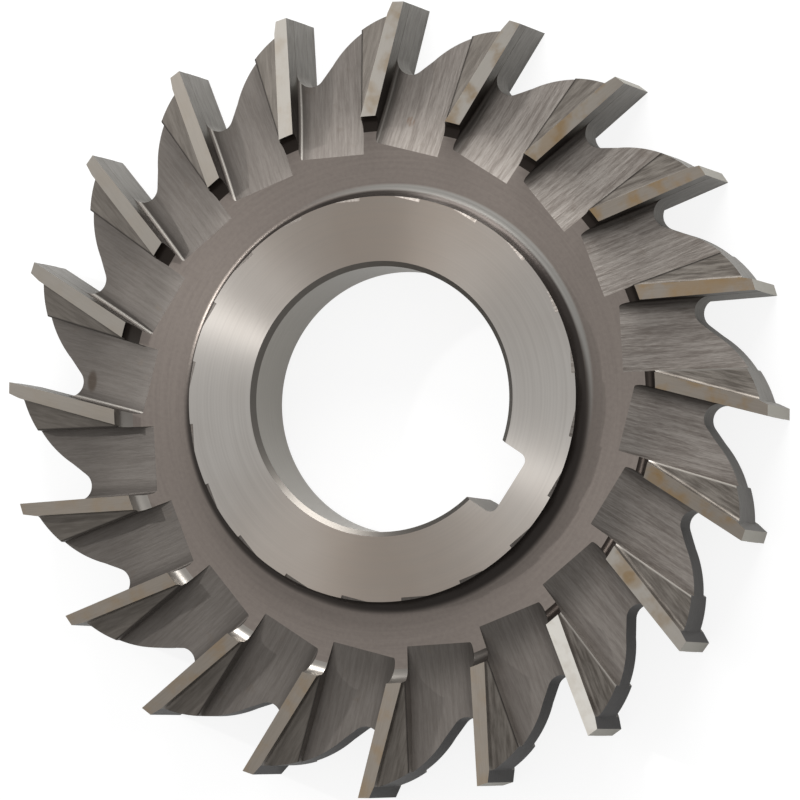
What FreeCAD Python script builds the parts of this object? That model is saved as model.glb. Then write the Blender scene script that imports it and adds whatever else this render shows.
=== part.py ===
import FreeCAD, Part
import math
import os

# Side and face milling cutter, one solid piece of tool steel.
# Millimetres. The axis is Z and the keyway points along +X. The middle plane is z = 0 while
# the shape is made, and at the end the part is lifted so that its lower hub face lies on z = 0.

V = FreeCAD.Vector

# Ring sizes
OUTER_D = 76.2
HUB_D = 38.8
HUB_W = 8.6
TOOTH_W = 8.4
WEB_W = 5.4
RIM_D = 54.3
HUB_FILLET_SHARE = 0.7
RIM_FILLET_SHARE = 0.9
FILLET_CHORDS = 3

# Bore and keyway
BORE_D = 25.4
BORE_CHAMFER = 0.48
KEY_W = 6.4
KEY_DEPTH = 2.8
KEY_CORNER = 0.8

# Teeth: shares are of the tooth pitch angle and of the gullet depth
TEETH = 20
FIRST_TIP_DEG = 12.0
RAKE_DEG = 11.1
GULLET_DEPTH = 6.8
GULLET_ROOT_R = 1.4
TIP_LAND_SHARE = 0.094
TIP_LAND_RELIEF = 0.04
STEP_SHARE = 0.134
STEP_DEPTH = 1.12
BACK_MID_SHARE = 0.405
BACK_MID_DEPTH_SHARE = 0.355
HEEL_SHARE = 0.745
HEEL_DEPTH_SHARE = 0.78

# Side gashes, cut with a round milling cutter that runs out into the web
NECK_W = 3.5
GASH_START_D = 47.4
GASH_START_SHARE = 0.514
GASH_RUN = 7.5
GASH_FLARE_DEG = 2.4
GASH_FOOT = 0.25

# Second relief behind each side land, a sloping pocket
LAND_W = 1.44
RELIEF_ROOT_DEPTH = 0.8
RELIEF_TIP_DEPTH = 1.25
RELIEF_HEEL_DEPTH = 1.6
RELIEF_HEEL_REACH_SHARE = 0.95
RELIEF_INNER_RUN = 1.2
RELIEF_HEEL_START = 3.0
RELIEF_HEEL_OVERLAP = 1.5
RELIEF_FOOT = 0.2

# How far each cut runs past the body, and how near two points count as one
OVERRUN = 3.0
SAME_POINT = 1e-4

# Derived sizes
outer_r = OUTER_D / 2
hub_r = HUB_D / 2
rim_r = RIM_D / 2
bore_r = BORE_D / 2
hub_half = HUB_W / 2
tooth_half = TOOTH_W / 2
web_half = WEB_W / 2
neck_half = NECK_W / 2
pitch = 360.0 / TEETH
above = hub_half + OVERRUN
beyond = outer_r + OVERRUN
rake = math.radians(RAKE_DEG)
root_r = outer_r - GULLET_DEPTH


def polar(r, clockwise_deg):
    """Point in a tooth's own plane: its tip is on +Y and the tooth looks clockwise."""
    a = math.radians(clockwise_deg)
    return V(r * math.sin(a), r * math.cos(a), 0)


def turned(point, degrees):
    """The point turned clockwise about Z."""
    a = math.radians(degrees)
    return V(point.x * math.cos(a) + point.y * math.sin(a),
             -point.x * math.sin(a) + point.y * math.cos(a), point.z)


def tip_angle(i):
    """Clockwise angle from +Y of tooth i."""
    return 90.0 - FIRST_TIP_DEG - i * pitch


def face(points):
    return Part.Face(Part.makePolygon(points + [points[0]]))


def prism(points, height):
    return face(points).extrude(V(0, 0, height))


def both_sides(tool):
    """The tool on the upper face and its mirror image on the lower face."""
    return [tool, tool.mirror(V(0, 0, 0), V(0, 0, 1))]


def around(tool):
    """The tool and its mirror image at every tooth."""
    copies = []
    for i in range(TEETH):
        for one in both_sides(tool):
            c = one.copy()
            c.rotate(V(0, 0, 0), V(0, 0, 1), -tip_angle(i))
            copies.append(c)
    return copies


def touching(shape, *points):
    """Edges of the shape that have a vertex at every one of the points."""
    return [e for e in shape.Edges
            if all(any(v.Point.distanceToPoint(p) < SAME_POINT for v in e.Vertexes) for p in points)]


# Tooth outline seen along the axis
face_dir = V(-math.sin(rake), -math.cos(rake), 0)
face_normal = V(math.cos(rake), -math.sin(rake), 0)
out_dir = -face_dir
tip = polar(outer_r, 0)
tip_heel = polar(outer_r - TIP_LAND_RELIEF, -TIP_LAND_SHARE * pitch)
step_foot = polar(outer_r - STEP_DEPTH, -STEP_SHARE * pitch)
back_mid = polar(outer_r - BACK_MID_DEPTH_SHARE * GULLET_DEPTH, -BACK_MID_SHARE * pitch)
heel = polar(outer_r - HEEL_DEPTH_SHARE * GULLET_DEPTH, -HEEL_SHARE * pitch)

# The root circle touches the tooth face and the root diameter
offset = GULLET_ROOT_R + tip.dot(face_normal)
along = math.sqrt((root_r + GULLET_ROOT_R) ** 2 - offset ** 2)
centre = face_normal * offset - face_dir * along
face_foot = centre - face_normal * GULLET_ROOT_R
span = turned(heel, pitch) - centre
swing = math.atan2(span.y, span.x) - math.acos(GULLET_ROOT_R / span.Length)
floor_foot = centre + V(math.cos(swing), math.sin(swing), 0) * GULLET_ROOT_R
root_mid = centre + (face_foot + floor_foot - centre * 2).normalize() * GULLET_ROOT_R

edges = []
for i in range(TEETH):
    p = [turned(q, tip_angle(i)) for q in (tip, tip_heel, step_foot, back_mid, heel)]
    q = [turned(s, tip_angle(i + 1)) for s in (floor_foot, root_mid, face_foot, tip)]
    edges.append(Part.makeLine(p[0], p[1]))
    edges.append(Part.makeLine(p[1], p[2]))
    edges.append(Part.Arc(p[2], p[3], p[4]).toShape())
    edges.append(Part.makeLine(p[4], q[0]))
    edges.append(Part.Arc(q[0], q[1], q[2]).toShape())
    edges.append(Part.makeLine(q[2], q[3]))
outline = Part.Face(Part.Wire(edges))
outline.translate(V(0, 0, -hub_half))
body = outline.extrude(V(0, 0, HUB_W))


# Turned recess between hub and rim, and the tooth faces just below the hub face
def fillet_points(cr, cz, radius, start_deg):
    """Points of a quarter circle in the plane of radius and height."""
    pts = []
    for i in range(FILLET_CHORDS + 1):
        a = math.radians(start_deg + 90 * i / FILLET_CHORDS)
        pts.append(V(cr + radius * math.cos(a), 0, cz + radius * math.sin(a)))
    return pts


hub_fillet = HUB_FILLET_SHARE * (hub_half - web_half)
rim_fillet = RIM_FILLET_SHARE * (tooth_half - web_half)
section = fillet_points(hub_r + hub_fillet, web_half + hub_fillet, hub_fillet, 180)
section += fillet_points(rim_r - rim_fillet, web_half + rim_fillet, rim_fillet, 270)
section += [V(rim_r, 0, tooth_half), V(beyond, 0, tooth_half), V(beyond, 0, above), V(hub_r, 0, above)]
recess = face(section).revolve(V(0, 0, 0), V(0, 0, 1), 360)

# Bore, its chamfers and the keyway
bore = Part.makeCylinder(bore_r, 2 * above, V(0, 0, -above))
cone_h = BORE_CHAMFER + OVERRUN
chamfer = Part.makeCone(bore_r, bore_r + cone_h, cone_h, V(0, 0, hub_half - BORE_CHAMFER))
key_x = bore_r + KEY_DEPTH
keyway = Part.makeBox(key_x, KEY_W, 2 * above, V(0, -KEY_W / 2, -above))
key_corners = [e for y in (-KEY_W / 2, KEY_W / 2)
               for e in touching(keyway, V(key_x, y, -above), V(key_x, y, above))]
keyway = keyway.makeFillet(KEY_CORNER, key_corners)

# One side gash: round run-out, level floor, straight wall in line with the tooth face
gash_o = polar(GASH_START_D / 2, GASH_START_SHARE * pitch)
u_wall = (tip - gash_o).dot(face_normal)
v_out = (tip - gash_o).dot(out_dir) + OVERRUN
rise = web_half - neck_half
run_r = (GASH_RUN ** 2 + rise ** 2) / (2 * rise)
turn = math.acos((run_r - above + neck_half) / run_r)


def gash_point(u, v, z):
    return gash_o + face_normal * u + out_dir * v + V(0, 0, z)


def run_out(angle):
    """Point of the round run-out on the wall, the angle counted from the level floor."""
    return gash_point(u_wall, GASH_RUN - run_r * math.sin(angle),
                      neck_half + run_r * (1 - math.cos(angle)))


floor_end = run_out(0)
v_in = GASH_RUN - run_r * math.sin(turn)
rest = [floor_end, gash_point(u_wall, v_out, neck_half), gash_point(u_wall, v_out, above), run_out(turn)]
side = [Part.Arc(run_out(turn), run_out(turn / 2), floor_end).toShape()]
side += [Part.makeLine(a, b) for a, b in zip(rest, rest[1:])]
slab = Part.Face(Part.Wire(side)).extrude(face_normal * (OVERRUN - u_wall))
flare = math.tan(math.radians(GASH_FLARE_DEG))
v_a = v_in - OVERRUN
v_b = v_out + OVERRUN
plan = prism([gash_point(u_wall - OVERRUN, v_a, 0), gash_point(flare * v_a, v_a, 0),
              gash_point(flare * v_b, v_b, 0), gash_point(u_wall - OVERRUN, v_b, 0)], above + OVERRUN)
gash = slab.common(plan)
wall_foot = [e for e in touching(gash, floor_end)
             if all(abs((v.Point - gash_o).dot(face_normal) - u_wall) < SAME_POINT for v in e.Vertexes)]
gash = gash.makeChamfer(GASH_FOOT, wall_foot)

# Second relief: a sloping pocket from the land's back edge to the edge of the next gash
land_root = tip + face_dir * (outer_r - rim_r)
wall_root = land_root - face_normal * LAND_W
wall_dir = (step_foot - wall_root).normalize()
flare_rad = math.radians(GASH_FLARE_DEG)
heel_dir = turned(out_dir * math.cos(flare_rad) + face_normal * math.sin(flare_rad), -pitch)
heel_base = turned(gash_o, -pitch)
reach = (outer_r - GASH_START_D / 2) * RELIEF_HEEL_REACH_SHARE
root_3d = wall_root + V(0, 0, tooth_half - RELIEF_ROOT_DEPTH)
tip_3d = step_foot + V(0, 0, tooth_half - RELIEF_TIP_DEPTH)
heel_3d = heel_base + heel_dir * reach + V(0, 0, tooth_half - RELIEF_HEEL_DEPTH)
slope = (tip_3d - root_3d).cross(heel_3d - root_3d)


def on_slope(p):
    z = root_3d.z - ((p.x - root_3d.x) * slope.x + (p.y - root_3d.y) * slope.y) / slope.z
    return V(p.x, p.y, z)


past_heel = V(-RELIEF_HEEL_OVERLAP, 0, 0)
corners = [wall_root - wall_dir * RELIEF_INNER_RUN,
           wall_root + wall_dir * (outer_r - rim_r + OVERRUN),
           heel_base + heel_dir * (reach + 2 * OVERRUN) + past_heel,
           heel_base + heel_dir * RELIEF_HEEL_START + past_heel]
low = [on_slope(p) for p in corners]
high = [V(p.x, p.y, above) for p in corners]
shell = [face(low), face(high)]
for i in range(4):
    j = (i + 1) % 4
    shell.append(face([low[i], low[j], high[j], high[i]]))
relief = Part.Solid(Part.makeShell(shell))
relief = relief.makeChamfer(RELIEF_FOOT, touching(relief, low[0], low[1]))

cutter = body.cut(both_sides(recess) + both_sides(chamfer) + [bore, keyway])
cutter = cutter.cut(around(gash))
cutter = cutter.cut(around(relief)).Solids[0]
cutter.translate(V(0, 0, hub_half))

os.makedirs("parts", exist_ok=True)
cutter.exportStep("parts/cutter.step")
print("valid", cutter.isValid(), "faces", len(cutter.Faces), "volume", round(cutter.Volume, 1))
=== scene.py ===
# %% [markdown]
# # Side and face cutter
# A side and face cutter is a flat steel disc that mills slots. Its teeth cut on the rim and on both
# faces. The whole cutter comes from one blank: it is turned, its teeth are milled, then it is
# hardened and the working faces are ground. This lesson makes it in the same order, because each
# cut then leaves its own kind of surface behind, just as in the workshop.

# %% Tools and the CAD frame
import math

import bpy
from mathutils import Matrix, Vector


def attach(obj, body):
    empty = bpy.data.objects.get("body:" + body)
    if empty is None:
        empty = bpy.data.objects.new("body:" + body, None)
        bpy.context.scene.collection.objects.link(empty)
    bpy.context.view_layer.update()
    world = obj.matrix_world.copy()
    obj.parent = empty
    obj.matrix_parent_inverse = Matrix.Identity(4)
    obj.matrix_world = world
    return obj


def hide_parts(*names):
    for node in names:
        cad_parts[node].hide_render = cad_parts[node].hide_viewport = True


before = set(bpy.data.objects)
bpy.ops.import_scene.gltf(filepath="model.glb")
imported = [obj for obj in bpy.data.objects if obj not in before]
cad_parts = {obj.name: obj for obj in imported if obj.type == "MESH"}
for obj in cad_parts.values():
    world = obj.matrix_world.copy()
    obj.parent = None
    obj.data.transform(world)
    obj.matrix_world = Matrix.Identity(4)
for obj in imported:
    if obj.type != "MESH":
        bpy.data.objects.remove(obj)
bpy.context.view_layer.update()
MM = 0.001
print("CAD nodes:", sorted(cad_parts))

# %% [markdown]
# ## The sizes
# All sizes are in millimetres and are those of the CAD part. The middle plane of the disc is
# z = 0 while it is modelled; at the end it is lifted so that it lies on its lower hub face.

# %% Sizes
OUTER_R = 38.1
HUB_R = 19.4
HUB_HALF = 4.3
TOOTH_HALF = 4.2
WEB_HALF = 2.7
NECK_HALF = 1.75
RIM_R = 27.15
HUB_FILLET = 1.12
RIM_FILLET = 1.35
BORE_R = 12.7
CHAMFER = 0.48
KEY_HALF = 3.2
KEY_X = 15.5
KEY_CORNER = 0.8
TEETH = 20
PITCH = 360 / TEETH
FIRST_TIP = 12
OVER = 1.0

# %% [markdown]
# ## Drawing a section
# Turned and milled shapes both start from a section. By hand one would place a vertex and press E
# to extrude it from point to point. The helper does just that: a small plane is merged into one
# vertex, and every further point is an extrusion.

# %% Helpers for drawing and cutting
def clear():
    bpy.ops.object.select_all(action="DESELECT")


def draw(name, points):
    """A chain of edges through the points, given in millimetres."""
    clear()
    bpy.ops.mesh.primitive_plane_add(size=MM, location=points[0] * MM)
    obj = bpy.context.object
    obj.name = name
    bpy.ops.object.mode_set(mode="EDIT")
    bpy.ops.mesh.select_mode(type="VERT")
    bpy.ops.mesh.merge(type="CENTER")
    for a, b in zip(points, points[1:]):
        bpy.ops.mesh.extrude_region_move(TRANSFORM_OT_translate={"value": (b - a) * MM})
    bpy.ops.object.mode_set(mode="OBJECT")
    bpy.ops.object.transform_apply(location=True)
    return obj


def edit(obj):
    """Opens the object in edit mode with everything in it selected."""
    clear()
    bpy.context.view_layer.objects.active = obj
    obj.select_set(True)
    bpy.ops.object.mode_set(mode="EDIT")
    bpy.ops.mesh.select_all(action="SELECT")


def done():
    bpy.ops.object.mode_set(mode="OBJECT")


def outward():
    bpy.ops.mesh.select_all(action="SELECT")
    bpy.ops.mesh.normals_make_consistent(inside=False)


def arc(centre, radius, start, end, steps, plane="xz"):
    """Points of a circular arc, angles in degrees."""
    pts = []
    for i in range(steps + 1):
        a = math.radians(start + (end - start) * i / steps)
        c, s = radius * math.cos(a), radius * math.sin(a)
        pts.append(Vector((centre[0] + c, 0, centre[1] + s)) if plane == "xz"
                   else Vector((centre[0] + c, centre[1] + s, 0)))
    return pts


print("helpers ready")

# %% [markdown]
# ## Finishes as empty slots
# Every surface of the cutter shows how it was made. The finishes are made as named materials
# first and get their nodes at the end of the lesson. Blender's Boolean modifier can carry a
# cutter's material over to the surface that it cuts, so a cut marks its own surface.

# %% Empty finishes
NAMES = ("hub_ground", "hub_wall", "web_turned", "rim_fillet", "side_land", "bore_ground",
         "chamfer", "gash_floor", "rake_face", "gullet", "back_relief", "tip_land",
         "second_relief", "keyway")
FINISH = {}
for name in NAMES:
    FINISH[name] = bpy.data.materials.new(name)
    FINISH[name].use_nodes = True


def paint(obj, choose):
    """Gives every face the finish that choose(centre in mm, normal) names."""
    obj.data.materials.clear()
    order = []
    for face in obj.data.polygons:
        name = choose(face.center / MM, face.normal)
        if name not in order:
            order.append(name)
            obj.data.materials.append(FINISH[name])
        face.material_index = order.index(name)


print(len(FINISH), "finishes")

# %% [markdown]
# ## The blank
# The blank is turned on a lathe, which is what the Spin tool does. The section runs up the bore,
# over the hub, down its fillet, across the web and up to the face of the teeth, and the lower
# half is its mirror image.

# %% Blank
upper = [Vector((BORE_R, 0, HUB_HALF - CHAMFER)), Vector((BORE_R + CHAMFER, 0, HUB_HALF)),
         Vector((HUB_R, 0, HUB_HALF))]
upper += arc((HUB_R + HUB_FILLET, WEB_HALF + HUB_FILLET), HUB_FILLET, 180, 270, 16)
upper += arc((RIM_R - RIM_FILLET, WEB_HALF + RIM_FILLET), RIM_FILLET, 270, 360, 16)
upper += [Vector((RIM_R, 0, TOOTH_HALF)), Vector((OUTER_R + OVER, 0, TOOTH_HALF))]
lower = [Vector((p.x, 0, -p.z)) for p in reversed(upper)]
# A small turn, so that no facet edge of the blank lies along the edge of a cut
OFF_GRID = math.radians(0.37)
cutter = draw("milling_cutter", upper + lower + upper[:1])
edit(cutter)
bpy.ops.mesh.remove_doubles(threshold=MM / 1000)
bpy.ops.mesh.select_all(action="SELECT")
bpy.ops.transform.rotate(value=OFF_GRID, orient_axis="Z", center_override=(0, 0, 0))
bpy.ops.mesh.spin(steps=360, angle=math.tau, center=(0, 0, 0), axis=(0, 0, 1))
bpy.ops.mesh.select_all(action="SELECT")
bpy.ops.mesh.remove_doubles(threshold=MM / 1000)
outward()
done()


def blank_finish(c, n):
    r = math.hypot(c.x, c.y)
    if r < BORE_R + CHAMFER / 4:
        return "bore_ground"
    if r < BORE_R + CHAMFER:
        return "chamfer"
    if r < HUB_R - 0.1:
        return "hub_ground"
    if r < HUB_R + HUB_FILLET:
        return "hub_wall"
    if r < RIM_R - RIM_FILLET:
        return "web_turned"
    return "rim_fillet" if r < RIM_R + 0.1 else "side_land"


paint(cutter, blank_finish)
print("blank:", len(cutter.data.polygons), "faces")

# %% [markdown]
# ## The tooth outline
# Seen along the axis every tooth has a straight rake face that leans 11 degrees from the radius,
# a narrow ground land on the tip, a small step, a curved back and a round gullet root. One tooth
# is drawn and the Spin tool, set to duplicate, sets twenty of them round the axis.

# %% Tooth outline
# Shares are of the pitch, and of the gullet's depth for the middle and the heel of the back
RAKE = math.radians(11.1)
GULLET = 6.8
ROOT_R = 1.4
TIP_LAND_SHARE = 0.094
TIP_LAND_DROP = 0.04
STEP_SHARE = 0.134
STEP_DROP = 1.12
BACK_MID_SHARE = 0.405
BACK_MID_DEPTH = 0.355
HEEL_SHARE = 0.745
HEEL_DEPTH = 0.78
FACE_DIR = Vector((-math.sin(RAKE), -math.cos(RAKE), 0))
FACE_NORMAL = Vector((math.cos(RAKE), -math.sin(RAKE), 0))


def polar(r, clockwise):
    """Point in a tooth's own plane, the tip on +Y; the angle is in degrees."""
    a = math.radians(clockwise)
    return Vector((r * math.sin(a), r * math.cos(a), 0))


def turned(p, clockwise):
    return Matrix.Rotation(-math.radians(clockwise), 3, "Z") @ p


def arc_through(a, b, c, steps):
    """Points of the circle arc from a over b to c, in the plane of the disc."""
    d = 2 * (a.x * (b.y - c.y) + b.x * (c.y - a.y) + c.x * (a.y - b.y))
    aa, bb, cc = a.dot(a), b.dot(b), c.dot(c)
    o = Vector(((aa * (b.y - c.y) + bb * (c.y - a.y) + cc * (a.y - b.y)) / d,
                (aa * (c.x - b.x) + bb * (a.x - c.x) + cc * (b.x - a.x)) / d, 0))
    start = math.atan2(a.y - o.y, a.x - o.x)
    end = math.atan2(c.y - o.y, c.x - o.x)
    sweep = (end - start + math.pi) % math.tau - math.pi
    return arc(o, (a - o).length, math.degrees(start), math.degrees(start + sweep), steps, "xy")


tip = polar(OUTER_R, 0)
tip_heel = polar(OUTER_R - TIP_LAND_DROP, -TIP_LAND_SHARE * PITCH)
step_foot = polar(OUTER_R - STEP_DROP, -STEP_SHARE * PITCH)
back_mid = polar(OUTER_R - BACK_MID_DEPTH * GULLET, -BACK_MID_SHARE * PITCH)
heel = polar(OUTER_R - HEEL_DEPTH * GULLET, -HEEL_SHARE * PITCH)
offset = ROOT_R + tip.dot(FACE_NORMAL)
along = math.sqrt((OUTER_R - GULLET + ROOT_R) ** 2 - offset ** 2)
root = FACE_NORMAL * offset - FACE_DIR * along
face_foot = root - FACE_NORMAL * ROOT_R
span = turned(heel, PITCH) - root
swing = math.atan2(span.y, span.x) - math.acos(ROOT_R / span.length)
floor_foot = root + Vector((math.cos(swing), math.sin(swing), 0)) * ROOT_R
root_mid = root + (face_foot + floor_foot - root * 2).normalized() * ROOT_R
tooth = [tip, tip_heel] + arc_through(step_foot, back_mid, heel, 20)
tooth += [turned(p, -PITCH) for p in arc_through(floor_foot, root_mid, face_foot, 24) + [tip]]
tooth = [turned(p, 90 - FIRST_TIP) for p in tooth]
outline = draw("tooth_outline", tooth)
edit(outline)
bpy.ops.mesh.spin(steps=TEETH, dupli=True, angle=math.tau, center=(0, 0, 0), axis=(0, 0, 1))
bpy.ops.mesh.select_all(action="SELECT")
bpy.ops.mesh.remove_doubles(threshold=MM / 1000)
bpy.ops.mesh.edge_face_add()
bpy.ops.transform.translate(value=(0, 0, -(HUB_HALF + OVER) * MM))
whole_height = (0, 0, 2 * (HUB_HALF + OVER) * MM)
bpy.ops.mesh.extrude_region_move(TRANSFORM_OT_translate={"value": whole_height})
outward()
done()


def outline_finish(c, n):
    r = math.hypot(c.x, c.y)
    tangent = Vector((c.y, -c.x, 0)).normalized()
    if abs(n.z) > 0.5 or r < OUTER_R - GULLET + ROOT_R:
        return "gullet"
    if n.dot(tangent) > 0.8:
        return "rake_face"
    return "tip_land" if r > OUTER_R - 0.3 else "back_relief"


paint(outline, outline_finish)
print("outline:", len(outline.data.vertices), "corners")

# %% [markdown]
# ## Cutting
# The Boolean modifier does the milling. Its manifold solver is quick and keeps the disc closed
# even where a cut runs within hundredths of a millimetre of a face that is there already.

# %% Boolean helper
def mill(tool, operation="DIFFERENCE"):
    clear()
    bpy.context.view_layer.objects.active = cutter
    cutter.select_set(True)
    bpy.ops.object.modifier_add(type="BOOLEAN")
    cut = cutter.modifiers[-1]
    cut.operation = operation
    cut.solver = "MANIFOLD"
    cut.material_mode = "TRANSFER"
    cut.object = tool
    bpy.ops.object.modifier_apply(modifier=cut.name)
    bpy.data.objects.remove(tool)


mill(outline, "INTERSECT")
print("teeth cut:", len(cutter.data.polygons), "faces")

# %% [markdown]
# ## Side gashes
# A round milling cutter enters beside each tooth. It leaves a straight wall in line with the rake
# face, a level floor, and a round run-out where it climbs out of the web. The section is drawn
# in the plane of that wall, extruded across the gap, and its far side is swung by 2.4 degrees,
# because the gap widens outwards. A bevel on the foot of the wall is the cutter's corner radius.

# %% Gash tool
GASH_START_R = 23.7
GASH_START_SHARE = 0.514
GASH_RUN = 7.5
PAST_TIP = 3
FLARE = 2.4
FOOT_R = 0.35
OUT_DIR = -FACE_DIR
gash_o = polar(GASH_START_R, GASH_START_SHARE * PITCH)
# How far the wall stands off the rake face, so that the two are never in one plane
WALL_STEP = 0.02
u_wall = (tip - gash_o).dot(FACE_NORMAL) - WALL_STEP
v_out = (tip - gash_o).dot(OUT_DIR) + PAST_TIP
rise = WEB_HALF - NECK_HALF
run_r = (GASH_RUN ** 2 + rise ** 2) / (2 * rise)
top = HUB_HALF + OVER
turn = math.acos((run_r - top + NECK_HALF) / run_r)


def gash_point(u, v, z):
    return gash_o + FACE_NORMAL * u + OUT_DIR * v + Vector((0, 0, z))


section = []
STEPS = 24
for i in range(STEPS + 1):
    a = turn * (1 - i / STEPS)
    climb = NECK_HALF + run_r * (1 - math.cos(a))
    section.append(gash_point(u_wall, GASH_RUN - run_r * math.sin(a), climb))
section += [gash_point(u_wall, v_out, NECK_HALF), gash_point(u_wall, v_out, top)]
gash = draw("gash_tool", section)
edit(gash)
bpy.ops.mesh.edge_face_add()
bpy.ops.mesh.extrude_region_move(TRANSFORM_OT_translate={"value": -FACE_NORMAL * u_wall * MM})
bpy.ops.transform.rotate(value=math.radians(FLARE), orient_axis="Z", center_override=gash_o * MM)
outward()
bpy.ops.mesh.select_mode(type="EDGE")
bpy.ops.mesh.select_all(action="DESELECT")
done()
far = [(v.co / MM - gash_o).dot(FACE_NORMAL) for v in gash.data.vertices]
print("gash: wall at", round(u_wall, 2), "far side", round(min(far), 2), "to", round(max(far), 2))


def near_foot(v):
    local = v.co / MM - gash_o
    on_wall = abs(local.dot(FACE_NORMAL) - u_wall) < 0.001
    on_top = local.z > top - 0.001
    return on_wall, on_top


foot = 0
for e in gash.data.edges:
    marks = [near_foot(gash.data.vertices[i]) for i in e.vertices]
    ends = [gash.data.vertices[i].co / MM - gash_o for i in e.vertices]
    upright = abs(ends[0].z - ends[1].z) > 1 and abs((ends[0] - ends[1]).dot(OUT_DIR)) < 0.01
    e.select = all(m[0] for m in marks) and not all(m[1] for m in marks) and not upright
    foot += e.select
bpy.ops.object.mode_set(mode="EDIT")
bpy.ops.mesh.bevel(offset=FOOT_R * MM, segments=10, affect="EDGES")
outward()
done()


def gash_finish(c, n):
    return "rake_face" if n.dot(FACE_NORMAL) < -0.9 and abs(n.z) < 0.3 else "gash_floor"


paint(gash, gash_finish)
print("foot edges:", foot, "faces:", len(gash.data.polygons))

# %% [markdown]
# The tool is copied round the disc and mirrored to the lower face. Neighbouring gashes meet over
# the web, so the even and the odd teeth are milled one after the other: two tools that overlap
# must not be in one cutter object.

# %% Copies of a tool, and the gashes milled
def ring(tool, first, step):
    """One object with the tool and its mirror image at every step-th tooth."""
    copies = []
    for i in range(first, TEETH, step):
        for side in (1, -1):
            c = tool.copy()
            c.data = tool.data.copy()
            bpy.context.collection.objects.link(c)
            place = Matrix.Rotation(-math.radians(90 - FIRST_TIP - i * PITCH), 4, "Z")
            c.data.transform(place @ Matrix.Diagonal((1, 1, side, 1)))
            if side < 0:
                c.data.flip_normals()
            copies.append(c)
    clear()
    for c in copies:
        c.select_set(True)
    bpy.context.view_layer.objects.active = copies[0]
    bpy.ops.object.join()
    return copies[0]


for first in (0, 1):
    mill(ring(gash, first, 2))
bpy.data.objects.remove(gash)
print("gashes milled:", len(cutter.data.polygons), "faces")

# %% [markdown]
# ## Second relief
# Behind the narrow ground land the side of each tooth drops into a sloping pocket, so that only
# the land touches the work. Its floor slopes down outwards and towards the next gash.

# %% Relief tool
LAND_W = 1.44
RELIEF_ROOT, RELIEF_TIP, RELIEF_HEEL = 0.8, 1.25, 1.6
RELIEF_R = 0.3
RELIEF_HIGH = 4
HEEL_REACH = 0.95
HEEL_START = 3
HEEL_OVERLAP = 1.5
INNER_RUN = 1.2
PAST_HEEL = 6
land_root = tip + FACE_DIR * (OUTER_R - RIM_R)
wall_root = land_root - FACE_NORMAL * LAND_W
wall_dir = (step_foot - wall_root).normalized()
flare = math.radians(FLARE)
heel_dir = turned(OUT_DIR * math.cos(flare) + FACE_NORMAL * math.sin(flare), -PITCH)
heel_base = turned(gash_o, -PITCH)
reach = (OUTER_R - GASH_START_R) * HEEL_REACH
root_3d = wall_root + Vector((0, 0, TOOTH_HALF - RELIEF_ROOT))
tip_3d = step_foot + Vector((0, 0, TOOTH_HALF - RELIEF_TIP))
heel_3d = heel_base + heel_dir * reach + Vector((0, 0, TOOTH_HALF - RELIEF_HEEL))
slope = (tip_3d - root_3d).cross(heel_3d - root_3d)


def on_slope(p):
    z = root_3d.z - ((p.x - root_3d.x) * slope.x + (p.y - root_3d.y) * slope.y) / slope.z
    return Vector((p.x, p.y, z))


over_heel = Vector((-HEEL_OVERLAP, 0, 0))
corners = [wall_root - wall_dir * INNER_RUN,
           wall_root + wall_dir * (OUTER_R - RIM_R + PAST_TIP),
           heel_base + heel_dir * (reach + PAST_HEEL) + over_heel,
           heel_base + heel_dir * HEEL_START + over_heel]
low = [on_slope(p) for p in corners]
relief = draw("relief_tool", low)
edit(relief)
bpy.ops.mesh.edge_face_add()
bpy.ops.mesh.extrude_region_move(TRANSFORM_OT_translate={"value": (0, 0, RELIEF_HIGH * MM)})
outward()
bpy.ops.mesh.select_mode(type="EDGE")
bpy.ops.mesh.select_all(action="DESELECT")
done()
for e in relief.data.edges:
    ends = [relief.data.vertices[i].co / MM for i in e.vertices]
    e.select = all(min((p - q).length for q in low[:2]) < 0.01 for p in ends)
bpy.ops.object.mode_set(mode="EDIT")
bpy.ops.mesh.bevel(offset=RELIEF_R * MM, segments=9, affect="EDGES")
outward()
done()
paint(relief, lambda c, n: "second_relief")
mill(ring(relief, 0, 1))
bpy.data.objects.remove(relief)
print("reliefs milled:", len(cutter.data.polygons), "faces")

# %% [markdown]
# ## Keyway
# The keyway is broached: a square bar with rounded corners is drawn through the bore.

# %% Keyway
clear()
bpy.ops.mesh.primitive_cube_add(size=MM, location=(KEY_X / 2 * MM, 0, 0))
bar = bpy.context.object
bar.dimensions = (KEY_X * MM, 2 * KEY_HALF * MM, 2 * (HUB_HALF + OVER) * MM)
bpy.ops.object.transform_apply(location=True, scale=True)
edit(bar)
bpy.ops.mesh.select_mode(type="EDGE")
bpy.ops.mesh.select_all(action="DESELECT")
done()
for e in bar.data.edges:
    ends = [bar.data.vertices[i].co / MM for i in e.vertices]
    e.select = all(p.x > KEY_X - 0.01 for p in ends) and abs(ends[0].z - ends[1].z) > 1
bpy.ops.object.mode_set(mode="EDIT")
bpy.ops.mesh.bevel(offset=KEY_CORNER * MM, segments=12, affect="EDGES")
outward()
done()
paint(bar, lambda c, n: "keyway")
mill(bar)
print("keyway cut:", len(cutter.data.polygons), "faces")

# %% [markdown]
# ## In place and shaded
# The disc is lifted onto its lower hub face. Shade Smooth by Angle rounds what was cut round and
# keeps every edge above 11 degrees crisp: the run-out of a gash meets the web at only 14 degrees,
# and that line shows on the real cutter.

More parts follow.
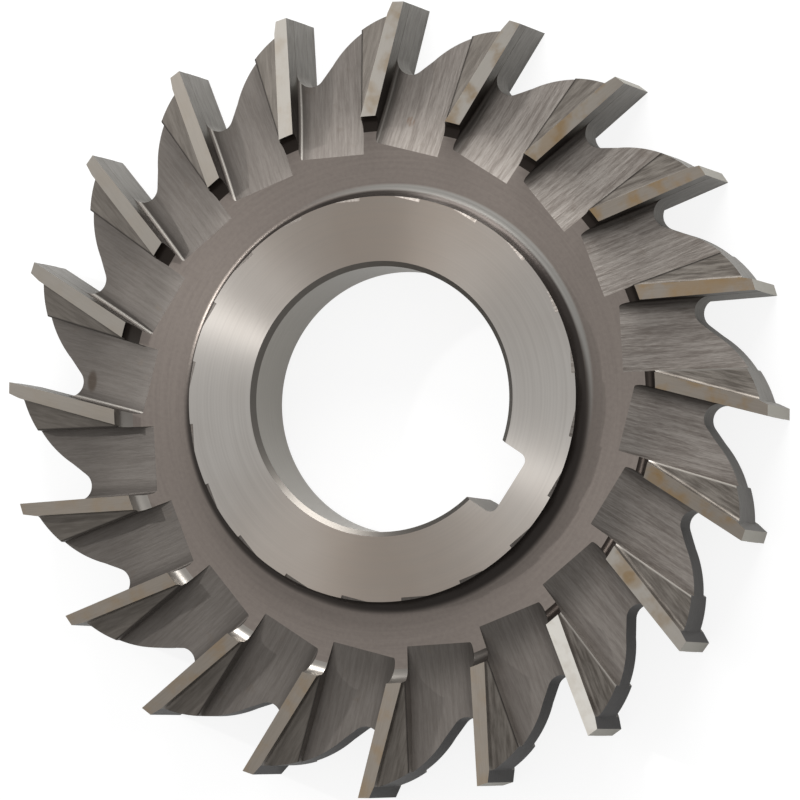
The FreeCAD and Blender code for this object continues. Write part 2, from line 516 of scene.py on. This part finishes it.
# %% Place and shade
SMOOTH_BELOW = 11
clear()
bpy.context.view_layer.objects.active = cutter
cutter.select_set(True)
cutter.data.transform(Matrix.Translation((0, 0, HUB_HALF * MM)))
bpy.ops.object.shade_smooth_by_angle(angle=math.radians(SMOOTH_BELOW))
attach(cutter, "root")
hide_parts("cutter")
print("faces:", len(cutter.data.polygons), [m.name for m in cutter.data.materials])

# %% [markdown]
# ## Writing materials as sums
# A procedural material is arithmetic on the position. The small class below wraps one socket, so
# that a plus sign adds a Math node. Every other node comes from one method, use.

# %% Wire class
class Wire:
    """One value in a material."""

    def __init__(self, tree, socket):
        self.tree = tree
        self.socket = socket

    def use(self, kind, inputs, out=0, **settings):
        """Adds a node; inputs are numbers or wires by socket name or number."""
        node = self.tree.nodes.new(kind)
        for key, value in settings.items():
            setattr(node, key, value)
        for key, value in inputs.items():
            if isinstance(value, Wire):
                self.tree.links.new(value.socket, node.inputs[key])
            else:
                node.inputs[key].default_value = value
        return Wire(self.tree, node.outputs[out])

    def maths(self, operation, *values):
        return self.use("ShaderNodeMath", dict(enumerate(values)), operation=operation)

    def __add__(self, other):
        return self.maths("ADD", self, other)

    def __sub__(self, other):
        return self.maths("SUBTRACT", self, other)

    def __rsub__(self, other):
        return self.maths("SUBTRACT", other, self)

    def __mul__(self, other):
        return self.maths("MULTIPLY", self, other)

    def __truediv__(self, other):
        return self.maths("DIVIDE", self, other)

    def size(self):
        return self.maths("ABSOLUTE", self)

    def larger(self, other):
        return self.maths("MAXIMUM", self, other)

    def step(self, low, high):
        """0 below low, 1 above high and smooth between them."""
        return self.use("ShaderNodeMapRange", {"Value": self, "From Min": low, "From Max": high},
                        interpolation_type="SMOOTHSTEP")

    def blend(self, a, b):
        """Colour a where this is 0 and colour b where it is 1."""
        return self.use("ShaderNodeMix", {0: self, 6: a, 7: b}, out=2, data_type="RGBA")

    def noise(self, x, y, z, detail=3, rough=0.55):
        """Noise between 0 and 1 at the point with these three coordinates."""
        point = self.use("ShaderNodeCombineXYZ", {0: x, 1: y, 2: z})
        return self.use("ShaderNodeTexNoise", {"Vector": point, "Scale": 1, "Detail": detail,
                                               "Roughness": rough})


def rgb(r, g, b):
    """A colour from 0 to 255, as in a paint program, in the linear values that Blender uses."""
    return tuple(((c / 255 + 0.055) / 1.055) ** 2.4 for c in (r, g, b)) + (1,)


print("a mid grey of 118 is", round(rgb(118, 118, 118)[0], 3), "in linear light")

# %% [markdown]
# ## Where am I on the disc?
# All finishes ask the same questions: how far from the axis, at what angle, on which tooth, and
# how far along or across that tooth's gash. The answers come from Object coordinates, in
# millimetres, so the marks follow every tooth in the direction in which it was cut.

# %% Position on the disc
class Spot:
    """The position on the disc, for one material."""

    def __init__(self, mat, cell_start):
        tree = mat.node_tree
        base = Wire(tree, None)
        coords = base.use("ShaderNodeTexCoord", {}, out="Object")
        axes = [base.use("ShaderNodeSeparateXYZ", {0: coords}, out=i) for i in range(3)]
        self.x, self.y, self.z = [a * (1 / MM) for a in axes]
        self.r = base.maths("SQRT", self.x * self.x + self.y * self.y)
        self.turn = base.maths("ARCTAN2", self.y, self.x) * (180 / math.pi)
        cell = (self.turn - (FIRST_TIP + cell_start)) / PITCH
        count = base.maths("FLOOR", cell)
        lean = (self.turn - FIRST_TIP - count * PITCH) * (math.pi / 180)
        lx = self.r * base.maths("SINE", lean) * -1
        ly = self.r * base.maths("COSINE", lean)
        self.across = lx * FACE_NORMAL.x + ly * FACE_NORMAL.y
        self.out = lx * OUT_DIR.x + ly * OUT_DIR.y
        self.tooth = base.maths("FLOORED_MODULO", count, TEETH)
        self.base = base

    def noise(self, x, y, z, **more):
        return self.base.noise(x, y, z, **more)

    def only(self, number):
        """1 on one tooth and 0 on the others; teeth are counted from the first tip."""
        return self.base.use("ShaderNodeMath", {0: self.tooth, 1: number, 2: 0.1},
                             operation="COMPARE")

    def side(self, angle, reach):
        """1 on the side of the disc at this angle, fading to 0 at reach degrees from it."""
        cosine = self.base.maths("COSINE", (self.turn - angle) * (math.pi / 180))
        return cosine.step(math.cos(math.radians(reach)), math.cos(math.radians(reach * 0.3)))

    def wave(self, angle, waves=1):
        """A cosine round the disc, 1 at this angle and -1 on the other side."""
        return self.base.maths("COSINE", (self.turn - angle) * (waves * math.pi / 180))

    def patch(self, angle, radius, size_turn, size_r):
        """1 in a soft oval patch round one place and 0 outside; the angle is in degrees."""
        a = (self.turn - angle) * (1 / size_turn)
        r = (self.r - radius) * (1 / size_r)
        return 1 - (a * a + r * r).step(0.2, 1)

    def bump(self, height, depth):
        """A surface direction from a height between 0 and 1 and a depth in millimetres."""
        return self.base.use("ShaderNodeBump",
                             {"Height": height, "Strength": 1, "Distance": depth * MM})


def finish(name, **sockets):
    """Sets the Principled BSDF of a finish; values are numbers, colours or wires."""
    tree = FINISH[name].node_tree
    bsdf = tree.nodes["Principled BSDF"]
    for key, value in sockets.items():
        socket = bsdf.inputs[key.replace("_", " ")]
        if isinstance(value, Wire):
            tree.links.new(value.socket, socket)
        else:
            socket.default_value = value


GASH_CELL = -11
TOOTH_CELL = -5
print("cells start", GASH_CELL, "and", TOOTH_CELL, "degrees from each tip")

# %% [markdown]
# ## Hub
# The hub face is ground while the cutter spins, which leaves a circular lay. Steel with a circular
# lay shows the bow-tie of two bright streaks. Anisotropic does that: with no tangent given, Cycles
# runs it round the object's Z axis, which is the very direction of the lay.

# %% Hub finish
s = Spot(FINISH["hub_ground"], TOOTH_CELL)
lay = s.noise(s.r * 5, s.turn * 0.012, 0, detail=4)
cloud = s.noise(s.x * 0.12, s.y * 0.12, 0, detail=2)
# Painted sheen: the base colour is lighter on two opposite sides of the hub.
sheen_sides = s.wave(35, 2) * 0.5 + 0.5
tone = (sheen_sides + (cloud - 0.5) * 0.5).blend(rgb(178, 166, 155), rgb(210, 205, 199))
tone = (lay.step(0.35, 0.75) * 0.25).blend(tone, rgb(168, 162, 155))
finish("hub_ground", Base_Color=tone, Metallic=1.0, Roughness=0.28, Anisotropic=0.9,
       Anisotropic_Rotation=0.25)

s = Spot(FINISH["bore_ground"], TOOTH_CELL)
lay = s.noise(s.z * 6, s.turn * 0.02, 0, detail=3)
finish("bore_ground", Base_Color=(lay * 0.6).blend(rgb(168, 164, 156), rgb(120, 114, 106)),
       Metallic=1.0, Roughness=0.32, Normal=s.bump(lay, 0.004))
finish("chamfer", Base_Color=rgb(110, 106, 101), Metallic=1.0, Roughness=0.4)
finish("keyway", Base_Color=rgb(120, 115, 108), Metallic=0.9, Roughness=0.45)
print("hub and bore done")

# %% [markdown]
# ## Web
# The web was turned and then hardened, so it is dull and brownish with a faint circular lay. The
# corner at the foot of the hub is darkened with painted shade, deepest on two sides, and the
# fillet there has a painted highlight on one side.

# %% Web finish
HUB_SHADE = rgb(42, 37, 34)
for name, rough in (("web_turned", 0.45), ("hub_wall", 0.33)):
    s = Spot(FINISH[name], TOOTH_CELL)
    lay = s.noise(s.r * 3.2, s.turn * 0.03, 0, detail=4)
    grain = s.noise(s.x * 2.5, s.y * 2.5, s.z, detail=4)
    mark = lay * 0.5 + grain * 0.5
    tone = mark.step(0.3, 0.75).blend(rgb(134, 125, 118), rgb(124, 115, 109))
    # Painted shade: a dark ring in the corner at the foot of the hub, deepest in two patches.
    hub_foot_shade = (1 - s.r.step(HUB_R + 0.55, HUB_R + 0.85)) * 0.9
    hub_foot_shade = hub_foot_shade.larger(s.patch(-115, HUB_R + 0.3, 80, 0.9) * 0.9)
    shade = s.patch(-20, HUB_R + 0.3, 100, 1.05)
    # Painted highlight: a pale arc on the hub fillet on one side.
    tone = s.patch(85, HUB_R + 1, 70, 0.5).blend(tone, rgb(158, 155, 150))
    tone = hub_foot_shade.larger(shade * 0.95).blend(tone, HUB_SHADE)
    finish(name, Base_Color=tone, Metallic=0.75, Roughness=rough, Anisotropic=0.5,
           Anisotropic_Rotation=0.25, Normal=s.bump(mark, 0.012))
s = Spot(FINISH["rim_fillet"], TOOTH_CELL)
# Painted highlight on the rim fillets on one side of the disc, painted shade on the rest.
tone = (s.side(-96, 70) * 0.8).blend(rgb(50, 44, 40), rgb(180, 175, 168))
finish("rim_fillet", Base_Color=tone, Metallic=0.9, Roughness=0.33)
print("web done")

# %% [markdown]
# ## Gash floors
# The milling cutter left streaks along each gash, stronger on one side of the disc. The floors get
# painted shade that darkens them towards one side of the disc, a painted shadow in the corner under
# the wall, and a painted highlight as a fine pale line along the foot of the wall.

# %% Gash floor finish
PALE_CUT = rgb(180, 173, 166)
DARK_CUT = rgb(120, 111, 104)
BLACK = rgb(0, 0, 0)
OLD_STAIN = rgb(104, 90, 76)
CORNER_SHADOW = rgb(40, 35, 31)
FOOT_HIGHLIGHT = rgb(205, 200, 192)
SMUDGE = rgb(62, 48, 34)
RUST = rgb(122, 88, 54)
WALL_LINE = tip.dot(FACE_NORMAL)
s = Spot(FINISH["gash_floor"], GASH_CELL)
streak = s.noise(s.across * 3.4, s.out * 0.22, s.tooth * 7.3, detail=5, rough=0.6)
fine = s.noise(s.across * 9, s.out * 1.4, s.tooth * 3.1, detail=3)
marked = s.side(55, 90) * 0.5 + 0.2
mark = streak * 0.7 + fine * 0.3
dark = (mark.step(0.32, 0.7) - 0.5) * (marked * 0.9 + 0.15) + 0.5
tone = dark.blend(PALE_CUT, DARK_CUT)
outer = s.r.step(25, 29)
# Painted shade: the floors and, by a rule of their own, the inner run-outs darken away from one
# side.
ends = 0.42 - s.wave(90) * 0.3 - s.wave(90, 2) * 0.17
shade = (s.wave(235) * 0.19 + 0.36) * outer + ends * (1 - outer)
tone = shade.blend(tone, BLACK)
stain = s.noise(s.x * 0.5, s.y * 0.5, 3.0, detail=4).step(0.6, 0.8) * 0.4
tone = stain.blend(tone, OLD_STAIN)
# Painted shadow in the corner under the wall, stronger on one side of the disc.
corner = 1 - s.across.step(WALL_LINE, WALL_LINE + 1.7)
tone = (corner * (s.side(75, 75) * 0.4 + 0.5)).blend(tone, CORNER_SHADOW)
# Painted highlight: a fine pale line along the foot of the wall, on one side of the disc.
foot = 1 - (s.across - WALL_LINE - 0.28).size().step(0.03, 0.13)
tone = (foot * s.side(174, 60) * 0.7).blend(tone, FOOT_HIGHLIGHT)
smudge = s.patch(-151, 30.4, 2.4, 0.6)
tone = (smudge * 0.6).blend(tone, SMUDGE)
rust = s.patch(118.4, 26.8, 1.0, 0.6) * mark.step(0.3, 0.6)
tone = (rust * 0.7).blend(tone, RUST)
finish("gash_floor", Base_Color=tone, Metallic=0.8, Roughness=0.5,
       Normal=s.bump(mark * marked, 0.08))
print("gash floors done")

# %% [markdown]
# ## Second relief finish
# The relief has the same streaks, finer. Its heel, where it meets the next gash, is a painted shade
# line that turns into a painted highlight on the teeth at the right.

# %% Second relief finish
HEEL_SHADE = rgb(36, 32, 29)
HEEL_HIGHLIGHT = rgb(196, 190, 182)
s = Spot(FINISH["second_relief"], TOOTH_CELL)
streak = s.noise(s.across * 3.2, s.out * 0.35, s.tooth * 5.1, detail=5, rough=0.6)
marked = s.side(25, 100) * 0.8 + 0.6
tone = ((streak.step(0.25, 0.75) - 0.5) * marked + 0.5).blend(rgb(124, 118, 111), rgb(88, 82, 76))
beside = Vector((-heel_dir.y, heel_dir.x, 0))
from_heel = ((s.across - heel_base.dot(FACE_NORMAL)) * beside.dot(FACE_NORMAL)
             + (s.out - heel_base.dot(OUT_DIR)) * beside.dot(OUT_DIR))
# Painted shade along the heel, turning into a painted highlight on one side of the disc.
line = 1 - from_heel.size().step(0.06, 0.22)
edge = s.side(8, 38).blend(HEEL_SHADE, HEEL_HIGHLIGHT)
tone = (line * 0.8).blend(tone, edge)
finish("second_relief", Base_Color=tone, Metallic=0.75, Roughness=0.5,
       Normal=s.bump(streak * marked, 0.025))
print("second relief done")

# %% [markdown]
# ## Lands
# The side lands and tip lands are ground last and stay the lightest. Their lay shows as a painted
# sheen, lighter on two sides of the disc, and the table of teeth below names the few that are
# brighter than their neighbours and by how much. Old coolant has dried on the lands as ochre
# stains, mostly on one half of the disc.

# %% Land finishes
LAND_PALE = rgb(130, 119, 107)
LAND_DARK = rgb(110, 100, 88)
LAND_SHEEN = rgb(242, 238, 230)
OCHRE = rgb(150, 120, 74)
SHEEN_TEETH = {18: 1, 19: 0.27, 7: 0.12}
# Stained places: angle and radius, then size round the disc in degrees and size outwards
SPOTS = ((51, 33, 3, 4.5), (-1.6, 30.3, 2, 1.4), (17, 28.3, 2, 1.1), (88.5, 30, 2.5, 3))
s = Spot(FINISH["side_land"], TOOTH_CELL)
lay = s.noise(s.across * 7, s.out * 0.5, s.tooth * 2.3, detail=4)
stain = s.noise(s.across * 0.5, s.out * 0.45, s.tooth * 9.7, detail=3).step(0.42, 0.72)
ochre = stain * (s.side(60, 100) * 0.75 + s.side(-85, 60) * 0.4 + 0.1)
for angle, radius, size_turn, size_r in SPOTS:
    ochre = ochre.larger(s.patch(angle, radius, size_turn, size_r) * (stain * 0.5 + 0.5))
plain = (lay.step(0.3, 0.75) * 0.5).blend(LAND_PALE, LAND_DARK)
# Painted sheen of the ground lay: lighter on two sides of the disc and on the teeth listed.
bright = s.side(118, 40) * 0.31 + s.side(185, 40) * 0.19 + 0.13
for number, strength in SHEEN_TEETH.items():
    bright = bright + s.only(number) * strength
tone = bright.blend(plain, LAND_SHEEN)
tone = (ochre * 0.8).blend(tone, OCHRE)
finish("side_land", Base_Color=tone, Metallic=0.9, Roughness=0.36, Anisotropic=0.7,
       Anisotropic_Rotation=0.369, Normal=s.bump(lay, 0.003))
finish("tip_land", Base_Color=rgb(140, 136, 126), Metallic=0.85, Roughness=0.42)
print("lands done")

# %% [markdown]
# ## Rake faces, gullets and backs
# These are plain steel with a faint lay. The rake face darkens towards its foot, and gullets and
# backs are darker on the side that faces away from the light.

# %% Rake, gullet and back finishes
FOOT_SHADE = rgb(46, 40, 36)
FAR_SIDE = rgb(32, 28, 25)
for name in ("rake_face", "gullet", "back_relief"):
    s = Spot(FINISH[name], GASH_CELL)
    lay = s.noise(s.z * 4, s.out * 0.6, s.across * 0.6, detail=4)
    tone = lay.step(0.3, 0.75).blend(rgb(120, 117, 111), rgb(98, 94, 88))
    if name == "rake_face":
        tone = s.r.step(30.2, 32.4).blend(FOOT_SHADE, tone)
    else:
        tone = s.side(-50, 95).blend(tone, FAR_SIDE)
    finish(name, Base_Color=tone, Metallic=0.8, Roughness=0.45, Normal=s.bump(lay, 0.015))
print("teeth done")

# %% [markdown]
# ## Camera
# The photo was taken with a long lens, 18 degrees from straight above. The camera starts at the
# aim point looking straight down. It is backed off, rolled, tipped over and swung to its side.

# %% Camera
AIM = Vector((0.44, 0.40, HUB_HALF))
DISTANCE = 577.9
ROLL = math.radians(9.86)
TILT = math.radians(18.12)
SWING = math.radians(23.09)
LENS = 270.77
clear()
bpy.ops.object.camera_add()
camera = bpy.context.object
lean_over = Matrix.Rotation(TILT, 4, "Y") @ Matrix.Rotation(ROLL, 4, "Z")
view = Matrix.Rotation(SWING, 4, "Z") @ lean_over
back_off = Matrix.Translation((0, 0, DISTANCE * MM))
camera.matrix_world = Matrix.Translation(AIM * MM) @ view @ back_off
camera.data.lens = LENS
camera.data.sensor_width = 36
camera.data.clip_start = 0.05
camera.data.clip_end = 20
scene = bpy.context.scene
scene.camera = camera
scene.render.resolution_x = 800
scene.render.resolution_y = 800
scene.view_settings.view_transform = "Standard"
print("camera", round(DISTANCE), "mm away")

# %% [markdown]
# ## Floor and lights
# The cutter lies on a plain pale floor that looks white to the camera and still takes its shadow.
# A broad soft light at the top shows the forms. Two narrow ones stand at the left, and the
# circular lay of the hub draws them out into its bright streaks. The azimuths of the lights are
# counted from the picture's right, which is PICTURE_RIGHT degrees round the disc from +X.

# %% Floor, world and lights
FLOOR_GLOW = 1.1
GLOW_SHARE = 0.78
FLOOR_LIGHT = 0.3
WORLD_LIGHT = 0.55
PICTURE_RIGHT = 30.36
clear()
bpy.ops.mesh.primitive_plane_add(size=4, location=(0, 0, 0))
floor = bpy.context.object
floor.name = "floor"
floor_mat = bpy.data.materials.new("pale_floor")
floor_mat.use_nodes = True
floor_tree = floor_mat.node_tree
floor_bsdf = floor_tree.nodes["Principled BSDF"]
floor_bsdf.inputs["Base Color"].default_value = (0.9, 0.9, 0.9, 1)
floor_bsdf.inputs["Roughness"].default_value = 0.9
seen = Wire(floor_tree, None).use("ShaderNodeLightPath", {}, out="Is Camera Ray")
glow = seen.use("ShaderNodeEmission", {"Color": (1, 1, 1, 1), "Strength": FLOOR_GLOW})
share = seen * (GLOW_SHARE - FLOOR_LIGHT) + FLOOR_LIGHT
both = seen.use("ShaderNodeMixShader", {0: share, 2: glow})
floor_tree.links.new(floor_bsdf.outputs[0], both.socket.node.inputs[1])
floor_tree.links.new(both.socket, floor_tree.nodes["Material Output"].inputs["Surface"])
floor.data.materials.append(floor_mat)
world = bpy.data.worlds.new("studio")
scene.world = world
world.use_nodes = True
sky = world.node_tree.nodes["Background"]
sky.inputs["Color"].default_value = (1, 1, 1, 1)
sky.inputs["Strength"].default_value = WORLD_LIGHT


def softbox(name, azimuth, elevation, distance, size, watts):
    """A square light aimed at the cutter; the azimuth is counted from the picture's right."""
    a = math.radians(azimuth + PICTURE_RIGHT)
    e = math.radians(elevation)
    away = Vector((math.cos(e) * math.cos(a), math.cos(e) * math.sin(a), math.sin(e)))
    clear()
    bpy.ops.object.light_add(type="AREA", location=away * distance)
    lamp = bpy.context.object
    lamp.name = name
    lamp.rotation_euler = away.to_track_quat("Z", "Y").to_euler()
    lamp.data.size = size
    lamp.data.energy = watts


softbox("top_light", azimuth=82, elevation=19, distance=1.5, size=1.0, watts=34)
softbox("streak_light", azimuth=163, elevation=32, distance=1.2, size=0.03, watts=4.3)
softbox("second_streak", azimuth=149, elevation=34, distance=1.2, size=0.15, watts=1.1)
print("staged")
